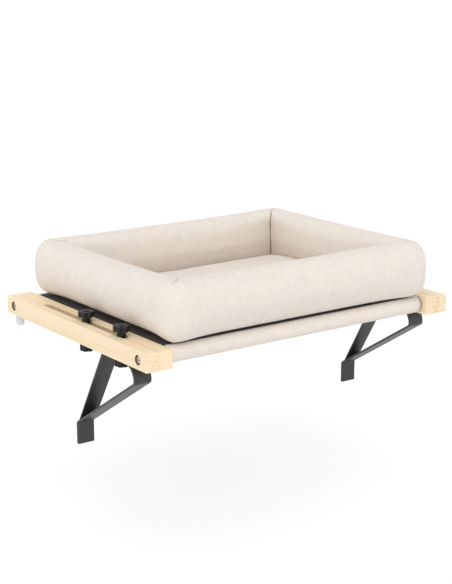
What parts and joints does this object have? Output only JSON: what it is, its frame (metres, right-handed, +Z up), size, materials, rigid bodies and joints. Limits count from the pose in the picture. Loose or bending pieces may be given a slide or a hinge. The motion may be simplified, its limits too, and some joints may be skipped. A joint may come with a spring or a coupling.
{
  "type": "cat radiator bed",
  "caption": "Clamp-on cat bed: slotted wooden rails and a stretched cloth deck that rest on a radiator or sill, sliding steel brackets with star knobs, and a bolster cushion.",
  "frame": {"origin": "midway between the two rails, at half their length, on the plane of their undersides, which rests on the radiator", "axes": "+X to the right rail seen from the front, +Y from the open front towards the wall, +Z up"},
  "size_m": [0.516, 0.377, 0.2555],
  "materials": {
    "pine": "smooth sanded pale pine, clear matt lacquer",
    "black_steel": "fine powder coat, charcoal black",
    "zinc_steel": "bright zinc plate",
    "black_zinc": "black oxide",
    "clear_plastic": "clear soft plastic",
    "black_plastic": "satin black plastic",
    "beige_weave": "warm pale beige herringbone weave",
    "charcoal_cloth": "charcoal polyester cloth"
  },
  "bodies": {
    "bed_frame": {"rail_left": "pine", "rail_right": "pine", "crossbar_front": "black_steel", "crossbar_rear": "black_steel", "crossbar_plugs_front": "zinc_steel", "crossbar_plugs_rear": "zinc_steel", "rail_bolts_left": "zinc_steel", "rail_bolts_right": "zinc_steel", "bolt_washers_left": "zinc_steel", "bolt_washers_right": "zinc_steel", "peg_left": "clear_plastic", "peg_right": "clear_plastic", "deck_cloth": "charcoal_cloth", "deck_sleeve_front": "beige_weave", "deck_sleeve_rear": "beige_weave"},
    "cushion": {"cushion_wall_front": "beige_weave", "cushion_wall_rear": "beige_weave", "cushion_wall_left": "beige_weave", "cushion_wall_right": "beige_weave", "cushion_floor_pad": "beige_weave", "cushion_base_cloth": "charcoal_cloth"},
    "bracket_left": {"bracket_arm_left": "black_steel", "bracket_brace_left": "black_steel", "clamp_nuts_left": "black_plastic"},
    "knob_front_left": {"knob_front_left": "black_plastic", "knob_stud_front_left": "black_zinc"},
    "knob_rear_left": {"knob_rear_left": "black_plastic", "knob_stud_rear_left": "black_zinc"},
    "bracket_right": {"bracket_arm_right": "black_steel", "bracket_brace_right": "black_steel", "clamp_nuts_right": "black_plastic"},
    "knob_front_right": {"knob_front_right": "black_plastic", "knob_stud_front_right": "black_zinc"},
    "knob_rear_right": {"knob_rear_right": "black_plastic", "knob_stud_rear_right": "black_zinc"}
  },
  "joints": [
    {"name": "cushion_lift", "type": "slide", "parent": "bed_frame", "child": "cushion", "axis": [0, 0, 1], "range_m": [0, 0.2]},
    {"name": "bracket_left_slide", "type": "slide", "parent": "bed_frame", "child": "bracket_left", "axis": [0, 1, 0], "range_m": [-0.0085, 0.1065]},
    {"name": "knob_front_left_turn", "type": "hinge", "parent": "bracket_left", "child": "knob_front_left", "pos_m": [-0.238, -0.095, 0.033], "axis": [0, 0, 1], "range_deg": [0, 720]},
    {"name": "knob_rear_left_turn", "type": "hinge", "parent": "bracket_left", "child": "knob_rear_left", "pos_m": [-0.238, -0.006, 0.033], "axis": [0, 0, 1], "range_deg": [0, 720]},
    {"name": "bracket_right_slide", "type": "slide", "parent": "bed_frame", "child": "bracket_right", "axis": [0, 1, 0], "range_m": [-0.0085, 0.1065]},
    {"name": "knob_front_right_turn", "type": "hinge", "parent": "bracket_right", "child": "knob_front_right", "pos_m": [0.238, -0.095, 0.033], "axis": [0, 0, 1], "range_deg": [0, 720]},
    {"name": "knob_rear_right_turn", "type": "hinge", "parent": "bracket_right", "child": "knob_rear_right", "pos_m": [0.238, -0.006, 0.033], "axis": [0, 0, 1], "range_deg": [0, 720]}
  ]
}
